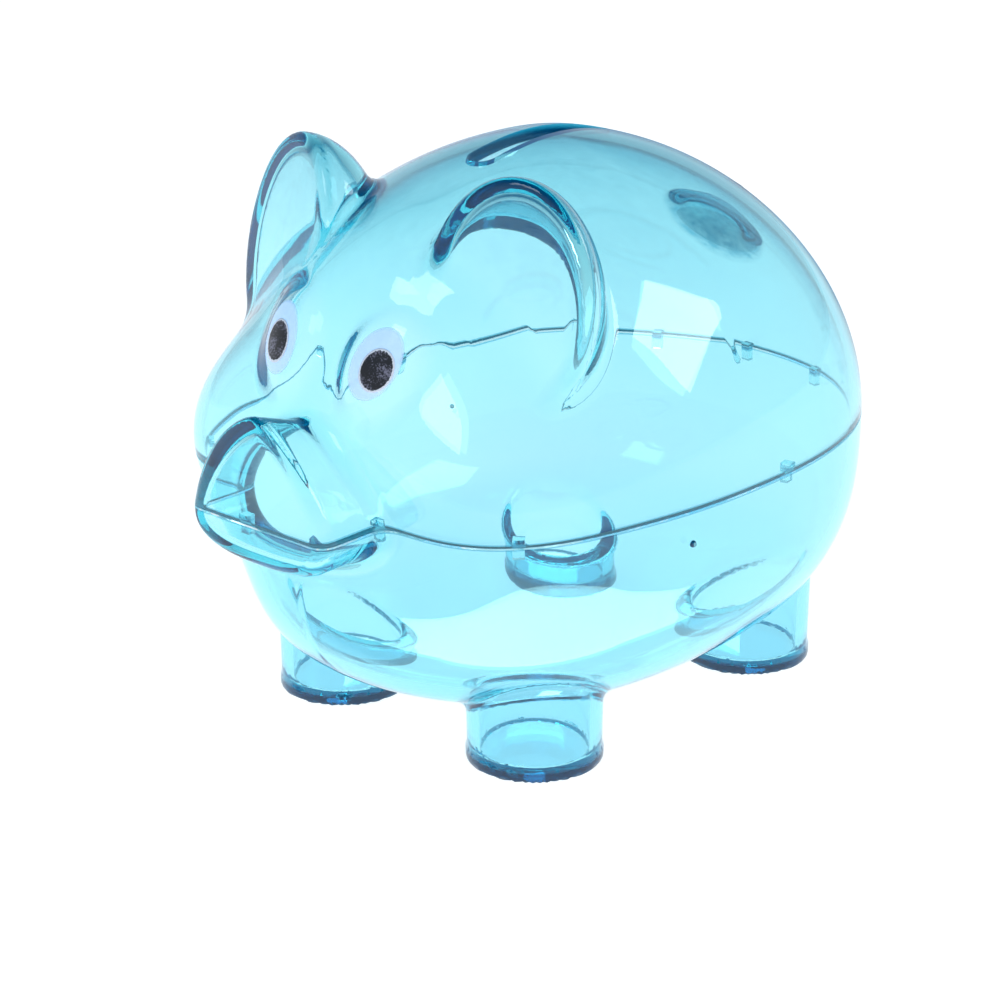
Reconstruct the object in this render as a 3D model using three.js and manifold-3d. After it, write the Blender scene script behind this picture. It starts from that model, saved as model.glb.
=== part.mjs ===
// A see-through plastic piggy bank, moulded in two thin shells that clip together at mid height.
// Millimetres, +Z up. The pig faces -Y. The origin is on the floor, under the middle of the bank.
import * as THREE from 'three';
import { mergeVertices } from 'three/addons/utils/BufferGeometryUtils.js';
import Module from 'manifold-3d';

// Body
const HALF_LENGTH = 52.8;
const HALF_WIDTH = 41.4;
const BODY_Y = 2.9;
const PARTING_Z = 40;
const CROWN_RISE = 45;
const BELLY_DROP = 35.3;
const PLAN_SQUARENESS = 2.33;
const CROWN_SQUARENESS = 1.85;
const BELLY_SQUARENESS = 2.9;
const WALL = 1.8;
const GAP = 0.3;

// Head: a forehead and cheeks fuller than the body, a receding chin, a hollow at eye level and a flat face
// behind the snout
const FOREHEAD = { x: 0, y: -31.5, z: 75, spread: 14, rise: 3.2 };
const CHEEK = { x: 27, y: -34, z: 43, spread: 12, rise: 3 };
const CHIN = { x: 23, y: -41, z: 24, spread: 13, rise: -3 };
const BROW_HOLLOW = { z: 59.5, halfHeight: 8, depth: 1.9 };
const FACE_DENT = { depth: 4.6, halfWidth: 21, halfHeight: 10 };

// Snout
const SNOUT = { frontY: -55.7, halfWidth: 13.4, rise: 16, drop: 6.2, archPower: 1.4, jawPower: 2.6 };
const SNOUT_REACH = 22;
const SNOUT_ROUND = 1.6;

// Ears, mirrored left and right
const EAR = { x: 20.5, y: -25.6, z: 68.5, halfWidth: 13, depth: 11.5, height: 17.8 };
const EAR_FACE_NORMAL = new THREE.Vector3(0.315, -0.928, 0.198);
const EAR_FACE_POINT = new THREE.Vector3(20.4, -25.8, 86.2);

// Eyes, mirrored left and right
const EYE = { x: 9.1, z: 61.4, halfWidth: 5.4, halfHeight: 7.3, rise: 1.6, roundness: 3.6 };
const EYE_OUTWARD = 16;
const EYE_UPWARD = 26;
const EYE_LEAN = 22;
const EYE_WHITE = { halfWidth: 3.8, halfHeight: 5.6 };
const EYE_PUPIL = { halfWidth: 2.3, halfHeight: 2.9, outward: 0.8, lower: 0.6 };
const FILM = 0.3;

// Coin slot
const SLOT_WIDTH = 4.6;
const SLOT_START = -12;
const SLOT_END = 16.5;

// Tail, a short hollow stub on the rump
const TAIL = { y: 44.2, z: 63, halfWidth: 6.8, depth: 5.4, halfHeight: 6.6 };

// Legs
const LEG_X = 19.4;
const LEG_Y = [-20.5, 29];
const LEG_RADIUS = 10;
const LEG_TOP_RADIUS = 10.3;
const LEG_TOP = 24;
const FOOT_RING = 1.6;
const FOOT_STEP = 0.25;
const FOOT_FLOOR = 1.5;

// Locating tabs under the rim of the upper shell, by their bearing around the body in degrees
const TAB_BEARINGS = [-52, 12, 71, 90, 109, 168, 232];
const TAB = { width: 1.6, thickness: 1.1, hang: 1.9, root: 2.6 };

const AROUND = 48;
const UP = 24;
const BIG = 200;

const wasm = await Module();
wasm.setup();

// Turns a closed geometry into a solid that can be joined and cut
function solid(geometry) {
  const bare = geometry.clone();
  bare.deleteAttribute('normal');
  bare.deleteAttribute('uv');
  const merged = mergeVertices(bare);
  const vertProperties = new Float32Array(merged.getAttribute('position').array);
  const triVerts = new Uint32Array(merged.index.array);
  return new wasm.Manifold(new wasm.Mesh({ numProp: 3, vertProperties, triVerts }));
}

function geometryOf(body) {
  const mesh = body.getMesh();
  const geometry = new THREE.BufferGeometry();
  geometry.setAttribute('position', new THREE.BufferAttribute(mesh.vertProperties, 3));
  geometry.setIndex(new THREE.BufferAttribute(mesh.triVerts, 1));
  geometry.computeVertexNormals();
  return geometry;
}

const joined = (solids) => solids.reduce((sum, next) => sum.add(next));

function box(width, length, height, x, y, z) {
  return solid(new THREE.BoxGeometry(width, length, height).translate(x, y, z));
}

const signedPower = (value, power) => Math.sign(value) * Math.abs(value) ** power;

const swell = (p, at) => at.rise * Math.exp(-(p.distanceToSquared(at) / at.spread ** 2));

// Moves a point of the plain egg shape to where the pig's head has it
function shapeHead(p) {
  const outward = new THREE.Vector3(p.x, p.y - BODY_Y, p.z - PARTING_Z).normalize();
  const cheek = { ...CHEEK, x: CHEEK.x * Math.sign(p.x || 1) };
  const chin = { ...CHIN, x: CHIN.x * Math.sign(p.x || 1) };
  const rise = swell(p, FOREHEAD) + swell(p, cheek) + swell(p, chin);
  const front = THREE.MathUtils.clamp((BODY_Y - p.y) / HALF_LENGTH, 0, 1);
  const band = Math.exp(-(((p.z - BROW_HOLLOW.z) / BROW_HOLLOW.halfHeight) ** 2));
  p.addScaledVector(outward, rise - BROW_HOLLOW.depth * front * band);
  if (p.y < 0) {
    const across = Math.exp(-((p.x / FACE_DENT.halfWidth) ** 4));
    const upward = Math.exp(-(((p.z - PARTING_Z) / FACE_DENT.halfHeight) ** 2));
    p.y += FACE_DENT.depth * across * upward;
  }
}

// The body's surface, or a surface set in from it by a wall's thickness
function bodySolid(inset = 0) {
  const ball = new THREE.SphereGeometry(1, AROUND, UP).rotateX(Math.PI / 2);
  const positions = ball.getAttribute('position');
  const p = new THREE.Vector3();
  for (let i = 0; i < positions.count; i += 1) {
    p.fromBufferAttribute(positions, i);
    const plan = Math.hypot(p.x, p.y);
    const upper = p.z >= 0;
    const squareness = upper ? CROWN_SQUARENESS : BELLY_SQUARENESS;
    const reach = (upper ? CROWN_RISE : BELLY_DROP) - inset;
    const ring = plan ** (2 / squareness);
    const along = plan > 1e-9 ? signedPower(p.y / plan, 2 / PLAN_SQUARENESS) : 0;
    const across = plan > 1e-9 ? signedPower(p.x / plan, 2 / PLAN_SQUARENESS) : 0;
    const z = PARTING_Z + reach * signedPower(p.z, 2 / squareness);
    p.set((HALF_WIDTH - inset) * across * ring, BODY_Y + (HALF_LENGTH - inset) * along * ring, z);
    shapeHead(p);
    positions.setXYZ(i, p.x, p.y, p.z);
  }
  return solid(ball);
}

// The snout is an arch over a shallow jaw, drawn straight back into the face
function snoutSolid(inset = 0) {
  const outline = new THREE.Shape();
  const steps = 28;
  for (let i = 0; i < steps; i += 1) {
    const turn = (2 * Math.PI * i) / steps;
    const above = Math.sin(turn) >= 0;
    const power = 2 / (above ? SNOUT.archPower : SNOUT.jawPower);
    const x = (SNOUT.halfWidth - inset - SNOUT_ROUND) * signedPower(Math.cos(turn), power);
    const reach = (above ? SNOUT.rise : SNOUT.drop) - inset - SNOUT_ROUND;
    const z = reach * signedPower(Math.sin(turn), power);
    if (i === 0) outline.moveTo(x, z);
    else outline.lineTo(x, z);
  }
  const bar = new THREE.ExtrudeGeometry(outline, {
    depth: SNOUT_REACH - inset - 2 * SNOUT_ROUND,
    bevelThickness: SNOUT_ROUND,
    bevelSize: SNOUT_ROUND,
    bevelSegments: 3,
  });
  bar.rotateX(Math.PI / 2).translate(0, SNOUT.frontY + SNOUT_REACH - SNOUT_ROUND, PARTING_Z);
  return solid(bar);
}

// An ear is half an egg whose flat side faces forward
function earSolid(side, inset = 0) {
  const egg = new THREE.SphereGeometry(1, 28, 16).rotateX(Math.PI / 2);
  egg.scale(EAR.halfWidth - inset, EAR.depth - inset, EAR.height - inset);
  egg.translate(side * EAR.x, EAR.y, EAR.z);
  const normal = new THREE.Vector3(side * EAR_FACE_NORMAL.x, EAR_FACE_NORMAL.y, EAR_FACE_NORMAL.z);
  normal.normalize();
  const point = new THREE.Vector3(side * EAR_FACE_POINT.x, EAR_FACE_POINT.y, EAR_FACE_POINT.z);
  point.addScaledVector(normal, BIG / 2 - inset);
  const front = new THREE.BoxGeometry(BIG, BIG, BIG);
  const turn = new THREE.Quaternion().setFromUnitVectors(new THREE.Vector3(0, 0, 1), normal);
  front.applyQuaternion(turn).translate(point.x, point.y, point.z);
  return solid(egg).subtract(solid(front));
}

// Moves a shape made at the origin, facing +Z with +Y upward, onto the body's surface at an eye. The tops of
// the two ovals lean apart.
function placeOnEye(side, geometry) {
  const lift = ((EYE.z - PARTING_Z) / CROWN_RISE) ** CROWN_SQUARENESS;
  const level = (1 - lift) ** (PLAN_SQUARENESS / CROWN_SQUARENESS);
  const forward = (level - (EYE.x / HALF_WIDTH) ** PLAN_SQUARENESS) ** (1 / PLAN_SQUARENESS);
  const point = new THREE.Vector3(side * EYE.x, BODY_Y - HALF_LENGTH * forward, EYE.z);
  shapeHead(point);
  geometry.rotateZ(THREE.MathUtils.degToRad(-side * EYE_LEAN));
  geometry.rotateX(THREE.MathUtils.degToRad(90 - EYE_UPWARD));
  geometry.rotateZ(THREE.MathUtils.degToRad(side * EYE_OUTWARD));
  return solid(geometry.translate(point.x, point.y, point.z));
}

// The raised oval under each eye, grown or shrunk by an offset
function eyeDome(side, offset = 0) {
  const depth = EYE.roundness;
  const dome = new THREE.SphereGeometry(1, 24, 14).rotateX(Math.PI / 2);
  dome.scale(EYE.halfWidth + offset, EYE.halfHeight + offset, depth + offset);
  dome.translate(0, 0, EYE.rise - depth);
  return placeOnEye(side, dome);
}

// A thin oval film that follows the dome at a height above it
function eyeFilm(side, size, height) {
  const column = new THREE.CylinderGeometry(1, 1, 6, 24).rotateX(Math.PI / 2);
  column.scale(size.halfWidth, size.halfHeight, 1);
  column.translate(side * (size.outward ?? 0), -(size.lower ?? 0), 3);
  const skin = eyeDome(side, height + FILM).subtract(eyeDome(side, height));
  return skin.intersect(placeOnEye(side, column));
}

// The tail is a round stub with a flat top
function tailSolid(inset = 0) {
  const ball = new THREE.SphereGeometry(1, 24, 14).rotateX(Math.PI / 2);
  ball.scale(TAIL.halfWidth - inset, TAIL.depth - inset, TAIL.halfHeight - inset);
  return solid(ball.translate(0, TAIL.y, TAIL.z));
}

// A leg is a straight cup with a thicker ring round its foot, and opens into the belly
function legSolid(x, y) {
  const profile = [
    [0, 0],
    [LEG_RADIUS, 0],
    [LEG_RADIUS, FOOT_RING],
    [LEG_RADIUS - FOOT_STEP, FOOT_RING],
    [LEG_TOP_RADIUS, LEG_TOP],
    [0, LEG_TOP],
  ];
  return turned(profile, x, y);
}

function legPocket(x, y) {
  const narrow = LEG_RADIUS - FOOT_STEP - WALL;
  const wide = LEG_TOP_RADIUS - WALL;
  return turned([[0, FOOT_FLOOR], [narrow, FOOT_FLOOR], [wide, LEG_TOP + 1], [0, LEG_TOP + 1]], x, y);
}

function turned(profile, x, y) {
  const points = profile.map(([radius, z]) => new THREE.Vector2(radius, z));
  return solid(new THREE.LatheGeometry(points, 32).rotateX(Math.PI / 2).translate(x, y, 0));
}

// The slot is a long hole with round ends, cut straight down through the crown
function slotSolid() {
  const radius = SLOT_WIDTH / 2;
  const outline = new THREE.Shape();
  outline.absarc(0, SLOT_END - radius, radius, 0, Math.PI);
  outline.absarc(0, SLOT_START + radius, radius, Math.PI, 2 * Math.PI);
  const bar = new THREE.ExtrudeGeometry(outline, { depth: 30, bevelEnabled: false, curveSegments: 8 });
  return solid(bar.translate(0, 0, PARTING_Z + CROWN_RISE - 15));
}

// Where the inside of the wall is, just above the parting line, in a direction from the body's middle
function innerReach(direction) {
  const across = Math.abs(direction.x / (HALF_WIDTH - WALL)) ** PLAN_SQUARENESS;
  const along = Math.abs(direction.y / (HALF_LENGTH - WALL)) ** PLAN_SQUARENESS;
  const p = direction.clone().multiplyScalar((across + along) ** (-1 / PLAN_SQUARENESS));
  p.add(new THREE.Vector3(0, BODY_Y, PARTING_Z));
  shapeHead(p);
  return Math.hypot(p.x, p.y - BODY_Y);
}

// Small tabs on the inside of the upper rim drop inside the lower rim and keep the halves in line
function tabSolid(bearing) {
  const turn = THREE.MathUtils.degToRad(bearing);
  const direction = new THREE.Vector3(Math.cos(turn), Math.sin(turn), 0);
  const reach = TAB.thickness + GAP + WALL / 2;
  const middle = innerReach(direction) - TAB.thickness - GAP + reach / 2;
  const tab = new THREE.BoxGeometry(reach, TAB.width, TAB.hang + TAB.root).rotateZ(turn);
  tab.translate(direction.x * middle, BODY_Y + direction.y * middle, PARTING_Z + (TAB.root - TAB.hang) / 2);
  return solid(tab);
}

const halfAbove = box(BIG, BIG, BIG, 0, 0, PARTING_Z + (BIG + GAP) / 2);
const halfBelow = box(BIG, BIG, BIG, 0, 0, PARTING_Z - (BIG + GAP) / 2);
const sides = [1, -1];

function upperShell() {
  const eyes = sides.map((side) => eyeDome(side));
  const ears = sides.map((side) => earSolid(side));
  const skin = joined([bodySolid(), snoutSolid(), tailSolid(), ...ears, ...eyes]);
  const earPockets = sides.map((side) => earSolid(side, WALL));
  const hollow = joined([bodySolid(WALL), snoutSolid(WALL), tailSolid(WALL), ...earPockets]);
  const shell = skin.subtract(hollow).subtract(slotSolid()).intersect(halfAbove);
  const tabs = joined(TAB_BEARINGS.map(tabSolid));
  const clearOfLower = tabs.intersect(bodySolid(WALL + GAP)).add(tabs.intersect(halfAbove));
  return shell.add(clearOfLower);
}

function lowerShell() {
  const places = sides.flatMap((side) => LEG_Y.map((y) => [side * LEG_X, y]));
  const legs = places.map(([x, y]) => legSolid(x, y));
  const pockets = places.map(([x, y]) => legPocket(x, y));
  const skin = joined([bodySolid(), snoutSolid(), ...legs]);
  const hollow = joined([bodySolid(WALL), snoutSolid(WALL), ...pockets]);
  return skin.subtract(hollow).intersect(halfBelow);
}

const clearAqua = new THREE.MeshStandardMaterial({
  color: 0x8fdce8,
  roughness: 0.05,
  metalness: 0,
  transparent: true,
  opacity: 0.45,
});
const eyeWhite = new THREE.MeshStandardMaterial({ color: 0xdde6f6, roughness: 0.35, metalness: 0 });
const pupilBlack = new THREE.MeshStandardMaterial({ color: 0x15171c, roughness: 0.3, metalness: 0 });

const piggyBank = new THREE.Group();

function addPiece(name, body, material) {
  const mesh = new THREE.Mesh(geometryOf(body), material);
  mesh.name = name;
  piggyBank.add(mesh);
}

addPiece('lower_shell', lowerShell(), clearAqua);
addPiece('upper_shell', upperShell(), clearAqua);
for (const side of sides) {
  const name = side > 0 ? 'left' : 'right';
  addPiece(`${name}_eye_white`, eyeFilm(side, EYE_WHITE, GAP), eyeWhite);
  addPiece(`${name}_eye_pupil`, eyeFilm(side, EYE_PUPIL, 2 * GAP + FILM), pupilBlack);
}

export default piggyBank;
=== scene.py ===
import math

import bmesh
import bpy
import numpy as np
from mathutils import Matrix, Quaternion, Vector


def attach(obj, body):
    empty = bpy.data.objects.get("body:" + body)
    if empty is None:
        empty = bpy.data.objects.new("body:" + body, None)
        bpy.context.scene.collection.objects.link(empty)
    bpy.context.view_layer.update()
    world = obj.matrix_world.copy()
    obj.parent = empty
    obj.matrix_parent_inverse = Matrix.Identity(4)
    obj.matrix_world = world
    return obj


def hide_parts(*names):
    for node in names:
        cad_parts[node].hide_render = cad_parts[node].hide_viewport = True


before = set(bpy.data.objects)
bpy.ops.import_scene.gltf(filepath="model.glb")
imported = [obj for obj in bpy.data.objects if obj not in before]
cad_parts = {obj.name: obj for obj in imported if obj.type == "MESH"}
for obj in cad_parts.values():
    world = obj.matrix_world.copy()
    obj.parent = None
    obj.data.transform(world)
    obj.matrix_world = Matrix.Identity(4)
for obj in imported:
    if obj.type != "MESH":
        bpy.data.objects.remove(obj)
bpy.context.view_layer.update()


# The body of the bank: a plump egg, squarer in plan than a circle, flatter across the face.
# It is moulded in clear aqua styrene as an upper and a lower shell of one even wall thickness.
# Every form below is a distance in millimetres from its surface, less than zero inside.
MM = 0.001
HALF_WIDTH = 41.4
HALF_LENGTH = 52.8
BODY_Y = 2.9
PARTING_Z = 40.0
CROWN_RISE = 45.0
BELLY_DROP = 35.3
PLAN_SQUARENESS = 2.33
CROWN_SQUARENESS = 1.85
BELLY_SQUARENESS = 2.9
WALL = 1.8
TINY = 1e-6


def hump(x, y, z, middle, spread):
    square = (x - middle[0]) ** 2 + (y - middle[1]) ** 2 + (z - middle[2]) ** 2
    return np.exp(-square / spread**2)


def body_form(x, y, z):
    """The egg, with its forehead, cheeks, chin, eye-level hollow and flat face. x is taken as positive."""
    px, py, pz = x, y - BODY_Y, z - PARTING_Z
    upper = pz >= 0
    reach = np.where(upper, CROWN_RISE, BELLY_DROP)
    squareness = np.where(upper, CROWN_SQUARENESS, BELLY_SQUARENESS)
    across = (np.abs(px) / HALF_WIDTH + TINY) ** PLAN_SQUARENESS
    along = (np.abs(py) / HALF_LENGTH + TINY) ** PLAN_SQUARENESS
    plan = across + along
    rise = (np.abs(pz) / reach + TINY) ** squareness
    whole = plan ** (squareness / PLAN_SQUARENESS) + rise
    size = whole ** (1 / squareness)
    to_plan = plan ** (squareness / PLAN_SQUARENESS - 1)
    slope_x = to_plan * across / (np.abs(px) + TINY)
    slope_y = to_plan * along / (np.abs(py) + TINY)
    slope_z = rise / (np.abs(pz) + TINY)
    steepness = np.sqrt(slope_x**2 + slope_y**2 + slope_z**2) * size / whole
    distance = (size - 1) / steepness

    front = np.clip(-py / HALF_LENGTH, 0, 1)
    forehead = 3.2 * hump(x, y, z, (0, -31.5, 75), 14)
    cheek = 3.0 * hump(x, y, z, (27, -34, 43), 12)
    chin = -3.0 * hump(x, y, z, (23, -41, 24), 13)
    eye_hollow = -1.9 * front * np.exp(-(((z - 59.5) / 8) ** 2))
    flat_face = -4.6 * np.clip(4 * front, 0, 1) * np.exp(-((x / 21) ** 4) - ((z - PARTING_Z) / 10) ** 2)
    return distance - (forehead + cheek + chin + eye_hollow + flat_face)


def blend(a, b, radius):
    """Two forms moulded as one, with a fillet of about this radius where they meet."""
    share = np.clip(0.5 + 0.5 * (b - a) / radius, 0, 1)
    return b + (a - b) * share - radius * share * (1 - share)


def trim(a, b, radius):
    """What two forms have in common, with its edge rounded off."""
    return -blend(-a, -b, radius)


def egg_form(x, y, z, middle, reach):
    px, py, pz = (x - middle[0]) / reach[0], (y - middle[1]) / reach[1], (z - middle[2]) / reach[2]
    size = np.sqrt(px**2 + py**2 + pz**2) + TINY
    steepness = np.sqrt((px / reach[0]) ** 2 + (py / reach[1]) ** 2 + (pz / reach[2]) ** 2) + TINY
    return (size - 1) * size / steepness


# The snout: an arch over a shallow jaw, drawn straight forward from the face and closed by a flat disc.
# It is hollow, and the parting line runs across its front.
SNOUT_FRONT = -55.7
SNOUT_BACK = -30.0
SNOUT_HALF_WIDTH = 13.4
SNOUT_RISE = 16.0
SNOUT_ROOF_SLOPE = 0.32
SNOUT_ROOF_LENGTH = 16
SNOUT_ROOF_SQUARENESS = 1.45
SNOUT_DROP = 6.2
SNOUT_JAW_SQUARENESS = 2.6
SNOUT_EDGE = 0.9
SNOUT_LOW_EDGE = 2.4
SNOUT_EDGE_TOP = 12
SNOUT_EDGE_RUN = 10
SNOUT_INNER_EDGE = 3.0
SNOUT_FILLET = 3.0


def snout_form(x, y, z, high_edge, low_edge):
    pz = z - PARTING_Z
    edge = high_edge + (low_edge - high_edge) * np.clip((SNOUT_EDGE_TOP - pz) / SNOUT_EDGE_RUN, 0, 1)
    roof = SNOUT_RISE - SNOUT_ROOF_SLOPE * np.clip(y - SNOUT_FRONT, 0, SNOUT_ROOF_LENGTH)
    reach = np.where(pz >= 0, roof, SNOUT_DROP)
    power = np.where(pz >= 0, SNOUT_ROOF_SQUARENESS, SNOUT_JAW_SQUARENESS)
    across = (np.abs(x) / SNOUT_HALF_WIDTH + TINY) ** power
    rise = (np.abs(pz) / reach + TINY) ** power
    whole = across + rise
    size = whole ** (1 / power)
    steepness = np.hypot(across / (np.abs(x) + TINY), rise / (np.abs(pz) + TINY)) * size / whole
    side = (size - 1) / steepness + edge
    middle = (SNOUT_FRONT + SNOUT_BACK) / 2
    end = np.abs(y - middle) - (SNOUT_BACK - SNOUT_FRONT) / 2 + edge
    outside = np.hypot(np.maximum(side, 0), np.maximum(end, 0))
    return outside + np.minimum(np.maximum(side, end), 0) - edge


# The ears: half eggs with their flat side forward, hollow behind, standing up and out from the crown.
EAR_MIDDLE = (20.5, -25.6, 68.5)
EAR_REACH = (13.0, 11.5, 17.8)
EAR_TIP = (20.4, -25.8, 86.2)
EAR_FACING = Vector((0.315, -0.928, 0.198)).normalized()
EAR_EDGE = 1.4
EAR_INNER_EDGE = 2.3
EAR_FILLET = 2.2


def ear_form(x, y, z, edge):
    egg = egg_form(x, y, z, EAR_MIDDLE, EAR_REACH)
    facing = sum(n * (p - t) for n, p, t in zip(EAR_FACING, (x, y, z), EAR_TIP))
    return trim(egg, facing, edge)


# The eye mounds: low ovals on the face that carry the eye prints, moulded with the upper shell.
# Their tops lean apart. Behind them the wall's inner side follows more softly.
EYE_PLACE = Vector((9.1, -40.4, 61.4))
EYE_OUTWARD = math.radians(16)
EYE_UPWARD = math.radians(24)
EYE_LEAN = math.radians(22)
EYE_MOUND = (5.6, 7.5, 3.2)
EYE_RISE = 1.25
EYE_FILLET = 2.2
EYE_INNER_FILLET = 5.0

eye_turn = (
    Matrix.Rotation(EYE_OUTWARD, 3, "Z")
    @ Matrix.Rotation(math.pi / 2 - EYE_UPWARD, 3, "X")
    @ Matrix.Rotation(-EYE_LEAN, 3, "Z")
)


def eye_axes(x, y, z):
    """Places measured from the left eye: across it, up it and out from it."""
    away = (x - EYE_PLACE.x, y - EYE_PLACE.y, z - EYE_PLACE.z)
    return [sum(eye_turn[i][j] * away[i] for i in range(3)) for j in range(3)]


def eye_form(x, y, z):
    across, up, out = eye_axes(x, y, z)
    return egg_form(across, up, out, (0, 0, EYE_RISE - EYE_MOUND[2]), EYE_MOUND)


# The tail: a short rounded stub on the rump, in the same clear plastic.
# It is moulded solid with the upper shell.
TAIL_MIDDLE = (0, 43.6, 62.8)
TAIL_REACH = (8.4, 6.6, 7.8)
TAIL_FILLET = 2.0


def tail_form(x, y, z):
    return egg_form(x, y, z, TAIL_MIDDLE, TAIL_REACH)


# The legs: four straight hollow cups, a little wider at the top so that they leave the mould,
# each closed by a foot with a slightly wider ring round it.
LEG_X = 19.4
LEG_YS = (-20.5, 29.0)
LEG_RADIUS = 10.0
LEG_TAPER = 0.02
FOOT_RING = 1.6
FOOT_STEP = 0.25
FOOT_STEP_RUN = 0.4
FOOT_EDGE = 0.5
LEG_TOP = 20.0
LEG_FILLET = 1.1


def leg_form(x, y, z, leg_y):
    radius = np.hypot(x - LEG_X, y - leg_y)
    ring = np.clip((z - FOOT_RING) / FOOT_STEP_RUN, 0, 1)
    side = radius - LEG_RADIUS + (FOOT_STEP - LEG_TAPER * np.maximum(z - FOOT_RING, 0)) * ring
    return trim(side, np.abs(z - LEG_TOP / 2) - LEG_TOP / 2, FOOT_EDGE)


def pig_form(x, y, z):
    """The outside of the whole closed bank."""
    x = np.abs(x)
    form = blend(body_form(x, y, z), snout_form(x, y, z, SNOUT_EDGE, SNOUT_LOW_EDGE), SNOUT_FILLET)
    form = blend(form, ear_form(x, y, z, EAR_EDGE), EAR_FILLET)
    form = blend(form, eye_form(x, y, z), EYE_FILLET)
    form = blend(form, tail_form(x, y, z), TAIL_FILLET)
    for leg_y in LEG_YS:
        form = blend(form, leg_form(x, y, z, leg_y), LEG_FILLET)
    return form


def hollow_form(x, y, z):
    """The inside of the whole closed bank, one wall in. The tail stays solid."""
    x = np.abs(x)
    form = blend(body_form(x, y, z), snout_form(x, y, z, SNOUT_INNER_EDGE, SNOUT_INNER_EDGE), SNOUT_FILLET)
    form = blend(form, ear_form(x, y, z, EAR_INNER_EDGE), EAR_FILLET)
    for leg_y in LEG_YS:
        form = blend(form, leg_form(x, y, z, leg_y), LEG_FILLET)
    return blend(form, eye_form(x, y, z), EYE_INNER_FILLET) + WALL


# The wall of the bank, before it is parted: one even thickness of clear plastic between two skins.
# The outside and the inside are each drawn as one smooth skin, on a fine grid, and settled on their forms.
CELL = 0.7
LOWEST = np.array((-44.0, -59.0, -3.0))
HIGHEST = np.array((44.0, 59.0, 90.0))
grid_axes = [np.arange(low, high, CELL) for low, high in zip(LOWEST, HIGHEST)]
grid = np.meshgrid(*grid_axes, indexing="ij")


def slope_of(form, points):
    """The outward slope of a form at some points."""
    step = 0.02
    slope = np.empty_like(points)
    for axis in range(3):
        nudge = np.zeros(3)
        nudge[axis] = step
        slope[:, axis] = (form(*(points + nudge).T) - form(*(points - nudge).T)) / (2 * step)
    return slope


def settle(form, points):
    """Slides points onto the form's surface."""
    for _ in range(3):
        slope = slope_of(form, points)
        move = form(*points.T) / np.maximum((slope**2).sum(axis=1), 0.2)
        points = points - slope * np.clip(move, -CELL, CELL)[:, None]
    return points


def skin(form):
    """Corners and four-sided faces of a form's surface, faces outward."""
    field = form(*grid)
    cells = np.array(field.shape) - 1
    total = np.zeros((*cells, 3))
    count = np.zeros(cells)
    rims = []
    for axis in range(3):
        near = field.take(range(cells[axis]), axis)
        far = field.take(range(1, cells[axis] + 1), axis)
        crossed = (near < 0) != (far < 0)
        ends = np.argwhere(crossed)
        points = ends.astype(float)
        points[:, axis] += near[crossed] / (near[crossed] - far[crossed])
        u, v = (axis + 1) % 3, (axis + 2) % 3
        ring = []
        for du, dv in ((-1, -1), (0, -1), (0, 0), (-1, 0)):
            place = ends.copy()
            place[:, u] += du
            place[:, v] += dv
            np.add.at(total, tuple(place.T), points)
            np.add.at(count, tuple(place.T), 1)
            ring.append(place)
        rims.append((np.stack(ring, axis=1), near[crossed] < 0))
    used = count > 0
    number = np.full(cells, -1)
    number[used] = np.arange(used.sum())
    corners = LOWEST + CELL * total[used] / count[used][:, None]
    faces = []
    for ring, outward in rims:
        quads = number[tuple(np.moveaxis(ring, 2, 0))]
        faces.append(np.where(outward[:, None], quads, quads[:, ::-1]))
    return settle(form, corners), np.concatenate(faces)


def make_object(name, corners, faces):
    """A mesh object from corners in millimetres."""
    mesh = bpy.data.meshes.new(name)
    mesh.from_pydata((np.asarray(corners) * MM).tolist(), [], faces)
    mesh.update()
    made = bpy.data.objects.new(name, mesh)
    bpy.context.scene.collection.objects.link(made)
    return made


def box_object(name, low, high):
    corners = [[(low, high)[i][0], (low, high)[j][1], (low, high)[k][2]]
               for i in (0, 1) for j in (0, 1) for k in (0, 1)]
    faces = [[0, 1, 3, 2], [4, 6, 7, 5], [0, 4, 5, 1], [2, 3, 7, 6], [0, 2, 6, 4], [1, 5, 7, 3]]
    return make_object(name, corners, faces)


def cut(target, tool, operation):
    """Joins a tool to the target, cuts it away or keeps what they share, and puts the tool away."""
    step = target.modifiers.new("cut", "BOOLEAN")
    step.operation, step.object, step.solver = operation, tool, "MANIFOLD"
    graph = bpy.context.evaluated_depsgraph_get()
    result = bpy.data.meshes.new_from_object(target.evaluated_get(graph))
    target.modifiers.clear()
    target.data = result
    bpy.data.objects.remove(tool)


def shell_blank(name):
    outer_corners, outer_faces = skin(pig_form)
    inner_corners, inner_faces = skin(hollow_form)
    corners = np.concatenate((outer_corners, inner_corners))
    faces = np.concatenate((outer_faces, inner_faces[:, ::-1] + len(outer_corners)))
    return make_object(name, corners, faces.tolist())


# The two shells: the upper one is crown, face, ears, upper snout and tail in one moulding, the lower one
# is jaw, belly and legs. Both are cut from the same skins, with a hair of a gap between their rims.
GAP = 0.26
BIG = 100.0
upper = shell_blank("upper_moulding")
lower = upper.copy()
lower.data = upper.data.copy()
lower.name = "lower_moulding"
bpy.context.scene.collection.objects.link(lower)
cut(upper, box_object("above", (-BIG, -BIG, PARTING_Z + GAP / 2), (BIG, BIG, BIG)), "INTERSECT")
cut(lower, box_object("below", (-BIG, -BIG, -BIG), (BIG, BIG, PARTING_Z - GAP / 2)), "INTERSECT")


# The coin slot: a long round-ended opening along the middle of the crown.
# It is cut straight down through the upper shell's wall and left with plain edges.
SLOT_WIDTH = 4.6
SLOT_START = -12.0
SLOT_END = 16.5
SLOT_CUT = (70, 95)


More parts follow.
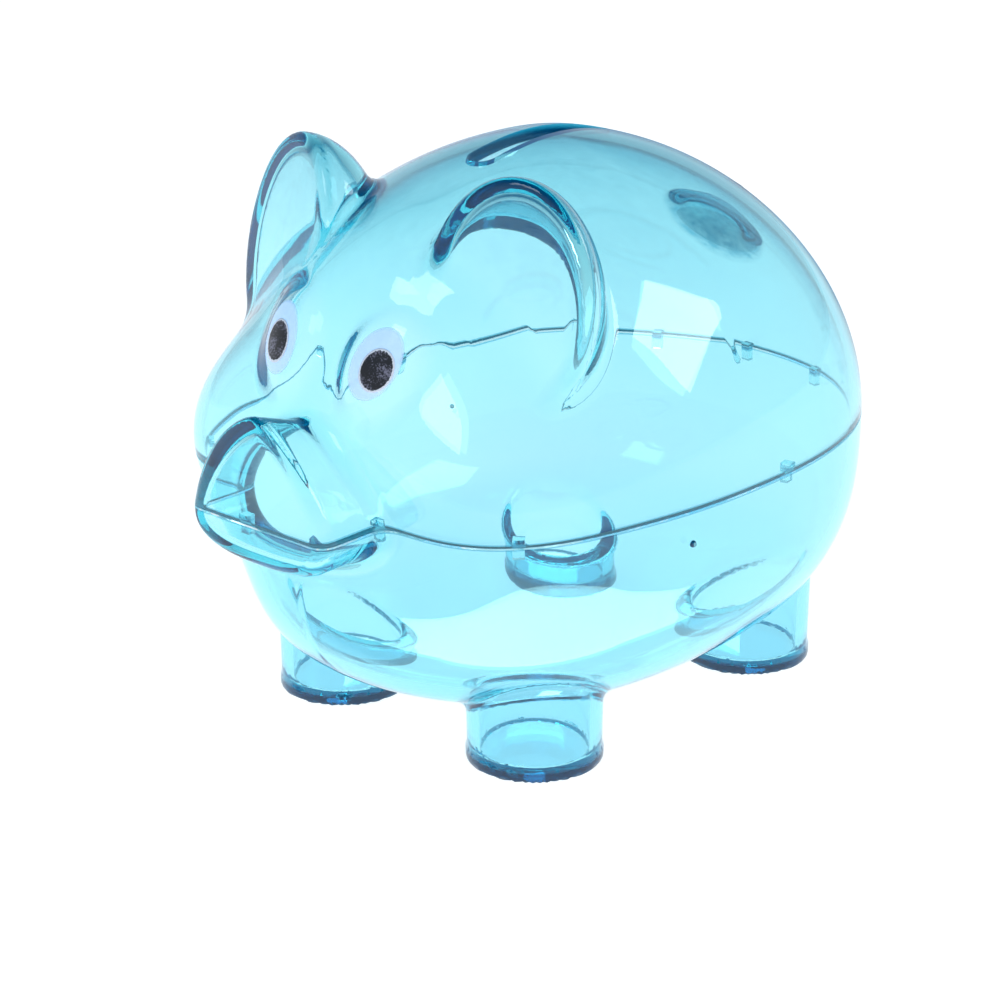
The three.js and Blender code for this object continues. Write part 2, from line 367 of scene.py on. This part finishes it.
def slot_outline(height):
    radius = SLOT_WIDTH / 2
    ends = ((SLOT_END - radius, 0), (SLOT_START + radius, math.pi))
    steps = 12
    turns = [(y, start + math.pi * i / steps) for y, start in ends for i in range(steps + 1)]
    return [(radius * math.cos(turn), y + radius * math.sin(turn), height) for y, turn in turns]


def stack_object(name, rings):
    """A closed solid through a stack of outlines with the same number of points."""
    n = len(rings[0])
    corners = [p for ring in rings for p in ring]
    faces = []
    for level in range(len(rings) - 1):
        for i in range(n):
            j = (i + 1) % n
            faces.append([level * n + i, level * n + j, (level + 1) * n + j, (level + 1) * n + i])
    faces.append(list(range(n))[::-1])
    faces.append([(len(rings) - 1) * n + i for i in range(n)])
    return make_object(name, corners, faces)


cut(upper, stack_object("slot", [slot_outline(height) for height in SLOT_CUT]), "DIFFERENCE")


# The locating tabs: small clear tongues, moulded on the inside of the upper shell's rim.
# They hang past the parting line and slip inside the lower shell.
TAB_BEARINGS = (-52, 12, 71, 90, 109, 168, 232, 267, 284)
TAB_WIDTH = 1.6
TAB_THICKNESS = 1.1
TAB_HANG = 1.9
TAB_ROOT = 0.9
TAB_CLEARANCE = 0.3
TAB_BITE = 0.6


def tab_object(bearing):
    out = Vector((math.cos(math.radians(bearing)), math.sin(math.radians(bearing)), 0))
    reach = np.arange(10, 60, 0.02)
    inside = hollow_form(out.x * reach, BODY_Y + out.y * reach, np.full_like(reach, PARTING_Z)) < 0
    wall = reach[inside].max()
    near, far = wall - TAB_CLEARANCE - TAB_THICKNESS, wall - TAB_CLEARANCE
    low, middle, high = PARTING_Z - TAB_HANG, PARTING_Z + GAP, PARTING_Z + TAB_ROOT
    root = wall + TAB_BITE
    profile = ((near, low), (far, low), (far, middle), (root, middle), (root, high), (near, high))
    along = Vector((-out.y, out.x, 0)) * TAB_WIDTH / 2
    corners = [
        Vector((0, BODY_Y, height)) + out * away + along * end
        for end in (-1, 1)
        for away, height in profile
    ]
    n = len(profile)
    sides = [[i, (i + 1) % n, (i + 1) % n + n, i + n] for i in range(n)]
    made = make_object("tab", corners, sides + [list(range(n))[::-1], list(range(n, 2 * n))])
    shape = bmesh.new()
    shape.from_mesh(made.data)
    bmesh.ops.recalc_face_normals(shape, faces=shape.faces)
    shape.to_mesh(made.data)
    return made


for bearing in TAB_BEARINGS:
    cut(upper, tab_object(bearing), "UNION")


# The gate pips: where the plastic was let into each mould, a small dark pip stays on the shell.
# Each is a ball of a fraction of a millimetre, half sunk in the wall.
GATES = ((lower, (40.6, -11.4, 35.3), 0.5), (upper, (21.1, -38.7, 57.8), 0.3))
for shell, place, radius in GATES:
    pip = bmesh.new()
    bmesh.ops.create_icosphere(pip, subdivisions=3, radius=radius * MM)
    bmesh.ops.translate(pip, verts=pip.verts, vec=Vector(place) * MM)
    mesh = bpy.data.meshes.new("gate_pip")
    pip.to_mesh(mesh)
    made = bpy.data.objects.new("gate_pip", mesh)
    bpy.context.scene.collection.objects.link(made)
    cut(shell, made, "UNION")


def polish(shell):
    """Gives the skins the exact smoothness of their forms, and leaves rims, slot and tabs crisp."""
    mesh = shell.data
    places = np.empty(len(mesh.vertices) * 3)
    mesh.vertices.foreach_get("co", places)
    places = places.reshape(-1, 3) / MM
    outside = np.abs(pig_form(*places.T)) < np.abs(hollow_form(*places.T))
    facing = np.where(outside[:, None], slope_of(pig_form, places), -slope_of(hollow_form, places))
    facing /= np.maximum(np.linalg.norm(facing, axis=1), TINY)[:, None]
    count = len(mesh.polygons)
    flat = np.empty(count * 3)
    mesh.polygons.foreach_get("normal", flat)
    sizes = np.empty(count, dtype=int)
    mesh.polygons.foreach_get("loop_total", sizes)
    corner = np.empty(len(mesh.loops), dtype=int)
    mesh.loops.foreach_get("vertex_index", corner)
    flat = np.repeat(flat.reshape(-1, 3), sizes, axis=0)
    curved = facing[corner]
    crisp = (flat * curved).sum(axis=1) < 0.8
    mesh.polygons.foreach_set("use_smooth", [True] * count)
    mesh.normals_split_custom_set(np.where(crisp[:, None], flat, curved).tolist())


for shell, cad_node, body in ((upper, "upper_shell", "upper_half"), (lower, "lower_shell", "lower_half")):
    polish(shell)
    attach(shell, body)
    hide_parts(cad_node)


# The finish of both shells: clear aqua styrene, deeper in colour where there is more of it to look through.
# Painted shade darkens the crown, rear, seam, tail, and the upper body and outline where seen edge on; the
# foot rings are darker too. The surface has a faint ripple and smudges.
class Value:
    """A shader socket that can be used in plain sums."""

    def __init__(self, material, socket):
        self.material, self.socket = material, socket

    def math(self, operation, *numbers, clamp=False):
        settings = {"operation": operation, "use_clamp": clamp}
        return node(self.material, "ShaderNodeMath", settings, dict(enumerate(numbers)))

    def __add__(self, other):
        return self.math("ADD", self, other)

    def __sub__(self, other):
        return self.math("SUBTRACT", self, other)

    def __rsub__(self, other):
        return self.math("SUBTRACT", other, self)

    def __mul__(self, other):
        return self.math("MULTIPLY", self, other)

    def __abs__(self):
        return self.math("ABSOLUTE", self)

    def __pow__(self, power):
        return self.math("POWER", self, power)

    def clamped(self, width):
        """Rises from nought to one over this width."""
        return self.math("DIVIDE", self, width, clamp=True)

    __radd__, __rmul__ = __add__, __mul__


def node(material, kind, settings, inputs, output=0):
    """Adds a node of this kind, sets its settings, then its inputs, and gives one of its outputs."""
    made = material.node_tree.nodes.new(kind)
    for name, value in settings.items():
        if name == "stops":
            for stop, (position, colour) in zip(made.color_ramp.elements, value):
                stop.position, stop.color = position, colour
        else:
            setattr(made, name, value)
    for name, value in inputs.items():
        if isinstance(value, Value):
            material.node_tree.links.new(value.socket, made.inputs[name])
        else:
            made.inputs[name].default_value = value
    return Value(material, made.outputs[output] if made.outputs else None)


def colour_mix(material, share, first, second):
    return node(material, "ShaderNodeMix", {"data_type": "RGBA"}, {0: share, 6: first, 7: second}, output=2)


def noise(material, place, scale, detail=2.0, distortion=0.0):
    inputs = {"Vector": place, "Scale": scale, "Detail": detail, "Distortion": distortion}
    return node(material, "ShaderNodeTexNoise", {}, inputs)


def mould_place(material):
    """Where a point of the surface is in the bank's own frame."""
    return node(material, "ShaderNodeTexCoord", {}, {}, output="Object")


def new_material(name):
    material = bpy.data.materials.new(name)
    material.use_nodes = True
    material.node_tree.nodes.clear()
    return material


CLEAR_TINT = (0.97, 0.99, 1.0, 1)
PAINTED_SHADE_TINT = (0.08, 0.36, 0.50, 1)
LEG_TINT = (0.78, 0.89, 0.96, 1)
FOOT_TINT = (0.004, 0.07, 0.15, 1)
GATE_TINT = (0.01, 0.05, 0.07, 1)
DEPTH_COLOUR = (0.0, 0.85, 0.905, 1)
PAINTED_GLOW_COLOUR = (0.0, 0.5, 0.95, 1)
SHADOW_TINT = (0.95, 0.985, 0.995, 1)
EDGE_SHADE_TINT = (0.12, 0.42, 0.56, 1)
SEAM_SHADE_HALF = 0.36
CROWN_START, CROWN_RUN = 64, 22
RUMP_START, RUMP_RUN = 15, 40
SHOULDER_START, SHOULDER_RUN = 42, 14
EDGE_SHADE_START, EDGE_SHADE_RUN = 44, 14
TAIL_SHADE_REACH, TAIL_SHADE_EDGE = 9.5, 1.5
LEG_TINT_TOP, LEG_TINT_RUN = 19.0, 5.0
FOOT_TINT_TOP = FOOT_RING + 0.1
FOOT_TINT_INNER = LEG_RADIUS - 0.9

aqua = new_material("clear_aqua_styrene")
place = mould_place(aqua)
beside, ahead, height = (
    node(aqua, "ShaderNodeSeparateXYZ", {}, {0: place}, output=axis) * (1 / MM) for axis in range(3)
)
ripple = noise(aqua, place, 35.0, detail=1.0)
streaks = noise(aqua, place, 260.0, distortion=1.5)
bump = node(aqua, "ShaderNodeBump", {}, {"Height": ripple, "Strength": 0.04, "Distance": 0.001})
grazing = node(aqua, "ShaderNodeLayerWeight", {}, {"Blend": 0.5}, output="Facing")


def near(spot, reach, softness):
    """One within this reach of a spot, fading to nought over the softness. All in millimetres."""
    ends = {0: place, 1: Vector(spot) * MM}
    away = node(aqua, "ShaderNodeVectorMath", {"operation": "DISTANCE"}, ends, output="Value")
    return (reach - away * (1 / MM)).clamped(softness)


# Painted shade along the seam: the outer skin within about a third of a millimetre of the parting line is
# darkened.
seam_shade = (SEAM_SHADE_HALF - abs(height - PARTING_Z)).clamped(0.08)
# Painted shade on the crown: darker towards the top, broken up by streaks.
crown = (height - CROWN_START).clamped(CROWN_RUN) * (streaks * 0.3 + 0.12)
# Painted shade on the rear: darker towards the back.
rump = (ahead - RUMP_START).clamped(RUMP_RUN) * 0.16
# Painted shade on the upper body where it is seen edge on.
shoulder_shade = (grazing - 0.6).clamped(0.18) * (height - SHOULDER_START).clamped(SHOULDER_RUN) * 0.65
# Painted shade on the tail, broken up by streaks.
tail_shade = near(TAIL_MIDDLE, TAIL_SHADE_REACH, TAIL_SHADE_EDGE) * (streaks * 1.6 - 0.2)
painted_shade = (seam_shade * 0.9 + crown + rump + shoulder_shade + tail_shade).clamped(1.0)
leg = (LEG_TINT_TOP - height).clamped(LEG_TINT_RUN)
from_leg_x = abs(beside) - LEG_X
from_leg_y = abs(ahead - sum(LEG_YS) / 2) - (LEG_YS[1] - LEG_YS[0]) / 2
from_leg = (from_leg_x * from_leg_x + from_leg_y * from_leg_y) ** 0.5
foot_ring = (FOOT_TINT_TOP - height).clamped(0.3) * (from_leg - FOOT_TINT_INNER).clamped(0.5)
# Painted shade: the tint goes towards dark teal wherever the painted shade masks above add up.
tint = colour_mix(aqua, painted_shade, CLEAR_TINT, PAINTED_SHADE_TINT)
tint = colour_mix(aqua, leg, tint, LEG_TINT)
tint = colour_mix(aqua, foot_ring, tint, FOOT_TINT)
for _, gate, radius in GATES:
    tint = colour_mix(aqua, near(gate, radius * 1.15, 0.1), tint, GATE_TINT)
# Painted light: the plastic glows faintly blue by itself, which fills the dark where long paths inside the
# clear edges end.
plastic = node(aqua, "ShaderNodeBsdfPrincipled", {}, {
    "Base Color": tint,
    "Roughness": noise(aqua, place, 60.0, detail=3.0) * 0.03,
    "IOR": 1.55,
    "Transmission Weight": 1.0,
    "Emission Color": PAINTED_GLOW_COLOUR,
    "Emission Strength": 0.012,
    "Normal": bump,
})
clear = node(aqua, "ShaderNodeBsdfTransparent", {}, {"Color": SHADOW_TINT})
shadow = node(aqua, "ShaderNodeLightPath", {}, {}, output="Is Shadow Ray")
# Painted shade on the upper outline towards the rear: where it is seen edge on, the surface turns partly into
# a dark teal see-through film.
outline = node(aqua, "ShaderNodeBsdfTransparent", {}, {"Color": EDGE_SHADE_TINT})
edge_shade_share = (grazing - 0.80).clamped(0.14) * (height - EDGE_SHADE_START).clamped(EDGE_SHADE_RUN)
edge_shade_share = edge_shade_share * (ahead + 20).clamped(30) * 0.75
plastic = node(aqua, "ShaderNodeMixShader", {}, {0: edge_shade_share, 1: plastic, 2: outline})
surface = node(aqua, "ShaderNodeMixShader", {}, {0: shadow, 1: plastic, 2: clear})
depth = node(aqua, "ShaderNodeVolumeAbsorption", {}, {"Color": DEPTH_COLOUR, "Density": 200.0})
node(aqua, "ShaderNodeOutputMaterial", {}, {"Surface": surface, "Volume": depth})


# The rims where the two shells meet: the same plastic, left as it was cut, so it looks finely ground.
# Only the level faces at the parting line have this finish.
RIM_DARK = (0.30, 0.72, 0.80, 1)
RIM_PALE = (0.45, 0.88, 0.93, 1)

rim = new_material("ground_rim")
rim_colour = colour_mix(rim, noise(rim, mould_place(rim), 900.0), RIM_DARK, RIM_PALE)
ground = {"Base Color": rim_colour, "Roughness": 0.45, "Alpha": 0.4}
rim_shader = node(rim, "ShaderNodeBsdfPrincipled", {}, ground)
node(rim, "ShaderNodeOutputMaterial", {}, {"Surface": rim_shader})
for shell in (upper, lower):
    shell.data.materials.clear()
    shell.data.materials.append(aqua)
    shell.data.materials.append(rim)
    for face in shell.data.polygons:
        if abs(face.normal.z) > 0.99 and abs(face.center.z / MM - PARTING_Z) < GAP:
            face.material_index = 1


# The eye prints: pad-printed ovals on the two mounds, a pale lilac-white one with a black pupil on it.
# The ink lies a few hundredths of a millimetre thick on the dome, thin and broken up towards its edge.
WHITE_HALF = (3.65, 5.4)
PUPIL_HALF = (2.5, 3.15)
PUPIL_LOWER = 0.6
WHITE_OUTWARD = {"left": 0, "right": -0.3}
PUPIL_OUTWARD = {"left": 0.8, "right": -0.15}
INK = 0.05


def print_patch(name, side, half, outward, lower_by, lift):
    rings, spokes = 14, 48
    flat = [(0.0, 0.0)]
    edge_share = [0.0] + [r / rings for r in range(1, rings + 1) for _ in range(spokes)]
    for r in range(1, rings + 1):
        for s in range(spokes):
            turn = 2 * math.pi * s / spokes
            flat.append((half[0] * r / rings * math.cos(turn), half[1] * r / rings * math.sin(turn)))
    flat = np.array(flat) + (outward, -lower_by)
    turn = np.array(eye_turn)
    middle = np.array(EYE_PLACE)
    spread = flat[:, :1] * turn[:, 0] + flat[:, 1:] * turn[:, 1]
    out = np.full(len(flat), EYE_RISE)
    for _ in range(30):
        points = middle + spread + out[:, None] * turn[:, 2]
        out -= 0.8 * pig_form(*points.T)
    layers = []
    for height in (lift, lift + INK):
        points = middle + spread + (out + height)[:, None] * turn[:, 2]
        layers.append(points * (side, 1, 1))
    count = len(flat)
    faces = []
    for s in range(spokes):
        t = (s + 1) % spokes
        faces.append([0, 1 + s, 1 + t])
        for r in range(rings - 1):
            a, b = 1 + r * spokes, 1 + (r + 1) * spokes
            faces.append([a + s, b + s, b + t, a + t])
    top = [[i + count for i in face] for face in faces]
    bottom = [face[::-1] for face in faces]
    edge = 1 + (rings - 1) * spokes
    rim_pairs = [(edge + s, edge + (s + 1) % spokes) for s in range(spokes)]
    wall = [[a, b, count + b, count + a] for a, b in rim_pairs]
    every = top + bottom + wall
    if side < 0:
        every = [face[::-1] for face in every]
    made = make_object(name, np.concatenate(layers), every)
    made.data.polygons.foreach_set("use_smooth", [True] * len(every))
    made.data.attributes.new("towards_edge", "FLOAT", "POINT").data.foreach_set("value", edge_share * 2)
    return made


white = new_material("eye_white_print")
towards_edge = node(white, "ShaderNodeAttribute", {"attribute_name": "towards_edge"}, {}, output="Fac")
grain = noise(white, mould_place(white), 900.0, detail=3.0)
# Painted light: the white print glows faintly blue, standing in for light shining through it from the plastic
# behind.
white_shader = node(white, "ShaderNodeBsdfPrincipled", {}, {
    "Base Color": colour_mix(white, grain, (0.74, 0.84, 1.0, 1), (0.84, 0.92, 1.0, 1)),
    "Roughness": 0.35,
    "Alpha": (1.06 - towards_edge).clamped(0.16) * (grain * 0.1 + 0.66),
    "Emission Color": (0.07, 0.15, 0.30, 1),
    "Emission Strength": 1.0,
})
node(white, "ShaderNodeOutputMaterial", {}, {"Surface": white_shader})

black = new_material("pupil_print")
towards_edge = node(black, "ShaderNodeAttribute", {"attribute_name": "towards_edge"}, {}, output="Fac")
specks = noise(black, mould_place(black), 4200.0)
patches = noise(black, mould_place(black), 420.0)
worn = (specks + patches * 0.8 - 0.90).clamped(0.22)
ink = colour_mix(black, worn * 0.75, (0.006, 0.006, 0.012, 1), (0.30, 0.28, 0.38, 1))
ink = colour_mix(black, (towards_edge + specks * 0.12 - 0.94).clamped(0.03), ink, (0.90, 0.90, 1.0, 1))
black_shader = node(black, "ShaderNodeBsdfPrincipled", {}, {"Base Color": ink, "Roughness": 0.35})
node(black, "ShaderNodeOutputMaterial", {}, {"Surface": black_shader})

for side, word in ((1, "left"), (-1, "right")):
    oval = print_patch(f"{word}_eye_white_print", side, WHITE_HALF, WHITE_OUTWARD[word], 0, 0.03)
    oval.data.materials.append(white)
    pupil = print_patch(f"{word}_eye_pupil_print", side, PUPIL_HALF, PUPIL_OUTWARD[word], PUPIL_LOWER, 0.1)
    pupil.data.materials.append(black)
    for made, kind, finish in ((oval, "white", "eye_white"), (pupil, "pupil", "pupil_black")):
        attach(made, "upper_half")
        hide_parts(f"{word}_eye_{kind}")


# The studio: a white floor that runs on to a white background, a pale sky and three soft boxes.
# The one behind lights only the lower shell, which gives the bright patch through the belly.
FLOOR_REACH = 3000
FLOOR_THICKNESS = 20
FLOOR_TOP = -0.1
floor = box_object(
    "floor", (-FLOOR_REACH, -FLOOR_REACH, -FLOOR_THICKNESS), (FLOOR_REACH, FLOOR_REACH, FLOOR_TOP)
)
paper = new_material("white_paper")
paper_shader = node(paper, "ShaderNodeBsdfPrincipled", {}, {
    "Base Color": (0.5, 0.48, 0.46, 1),
    "Roughness": 0.9,
    "Emission Color": (1, 1, 1, 1),
    "Emission Strength": 0.93,
})
node(paper, "ShaderNodeOutputMaterial", {}, {"Surface": paper_shader})
floor.data.materials.append(paper)

world = bpy.data.worlds.new("studio")
world.use_nodes = True
world.node_tree.nodes.clear()
sky_way = node(world, "ShaderNodeTexCoord", {}, {}, output="Generated")
sky_height = node(world, "ShaderNodeSeparateXYZ", {}, {0: sky_way}, output="Z")
sky_stops = ((0.05, (0.80, 0.84, 0.88, 1)), (0.85, (0.0, 0.17, 0.29, 1)))
sky = node(world, "ShaderNodeValToRGB", {"stops": sky_stops}, {0: sky_height})
glow = node(world, "ShaderNodeBackground", {}, {"Color": sky, "Strength": 1.0})
node(world, "ShaderNodeOutputWorld", {}, {"Surface": glow})
bpy.context.scene.world = world
bpy.context.scene.view_settings.view_transform = "Standard"
# Light runs a long way inside the clear edges before it leaves them.
MANY_BOUNCES = 96
bpy.context.scene.cycles.max_bounces = MANY_BOUNCES
bpy.context.scene.cycles.transmission_bounces = MANY_BOUNCES
bpy.context.scene.cycles.glossy_bounces = MANY_BOUNCES
bpy.context.scene.cycles.transparent_max_bounces = 32


def way_out(around, above):
    """The way to something seen from the bank at these angles, in degrees: round from the front, and up."""
    around, above = math.radians(around), math.radians(above)
    return Vector((math.sin(around) * math.cos(above), -math.cos(around) * math.cos(above), math.sin(above)))


def softbox(name, around, above, width, height, brightness, roll=0):
    """A soft box seen from the bank at these angles, its size in degrees, as many times white as said."""
    away = 0.7
    way = way_out(around, above)
    lamp = bpy.data.lights.new(name, "AREA")
    lamp.shape = "RECTANGLE"
    lamp.size, lamp.size_y = away * math.radians(width), away * math.radians(height)
    lamp.energy = brightness * math.pi * lamp.size * lamp.size_y
    made = bpy.data.objects.new(name, lamp)
    made.location = Vector((0, 0, 0.045)) + way * away
    made.rotation_euler = (way.to_track_quat("Z", "Y") @ Quaternion((0, 0, 1), math.radians(roll))).to_euler()
    made.visible_camera = False
    bpy.context.scene.collection.objects.link(made)
    return made


softbox("side_softbox", around=129, above=31, width=22, height=18, brightness=4.0, roll=25)
softbox("front_softbox", around=0, above=48, width=20, height=16, brightness=3.0)
back_box = softbox("back_softbox", around=-138, above=19, width=13, height=15, brightness=4.5)
belly_only = bpy.data.collections.new("lit_by_back_softbox")
belly_only.objects.link(lower)
back_box.light_linking.receiver_collection = belly_only


# The camera: a long lens, a little above the bank and to its left, shifted so that the bank stands
# high and left of the middle of the frame.
CAMERA_AROUND = 41.64
CAMERA_ABOVE = 18.65
CAMERA_AWAY = 0.40623
CAMERA_TARGET = Vector((0, 0.0034, 0.042))
camera_data = bpy.data.cameras.new("camera")
camera_data.lens = 97.35
camera_data.sensor_width = 36.0
camera_data.shift_x = -0.0442
camera_data.shift_y = -0.0905
camera = bpy.data.objects.new("camera", camera_data)
bpy.context.scene.collection.objects.link(camera)
back = way_out(CAMERA_AROUND, CAMERA_ABOVE)
camera.location = CAMERA_TARGET + back * CAMERA_AWAY
camera.rotation_euler = back.to_track_quat("Z", "Y").to_euler()
bpy.context.scene.camera = camera
